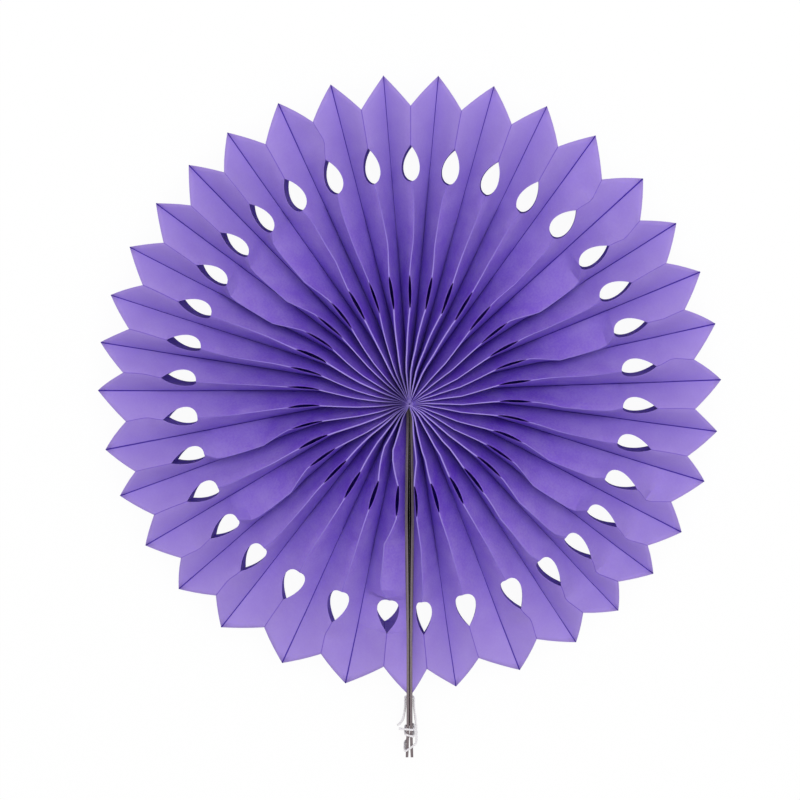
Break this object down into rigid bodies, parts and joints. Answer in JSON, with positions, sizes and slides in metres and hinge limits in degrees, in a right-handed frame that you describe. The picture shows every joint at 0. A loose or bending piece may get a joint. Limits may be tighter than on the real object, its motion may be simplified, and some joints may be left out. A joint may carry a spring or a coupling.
{
  "type": "paper fan rosette",
  "caption": "Opened tissue paper fan: a full disc of hollow folded petals with teardrop cut-outs, held by two tied board ribs.",
  "frame": {"origin": "on the surface that the fan lies on, straight below the middle of its hub", "axes": "+Z out of the disc's front, +Y in the disc away from the ribs, so the ribs point along -Y"},
  "size_m": [0.4, 0.4442, 0.0544],
  "materials": {
    "tissue_paper": "matt dyed tissue, slightly see-through",
    "greyboard": "cut greyboard edge",
    "white_thread": "twisted cotton thread"
  },
  "bodies": {
    "root": {"tissue_body": "tissue_paper", "left_rib": "greyboard", "right_rib": "greyboard", "hub_thread": "white_thread", "tie_thread": "white_thread"}
  },
  "joints": []
}
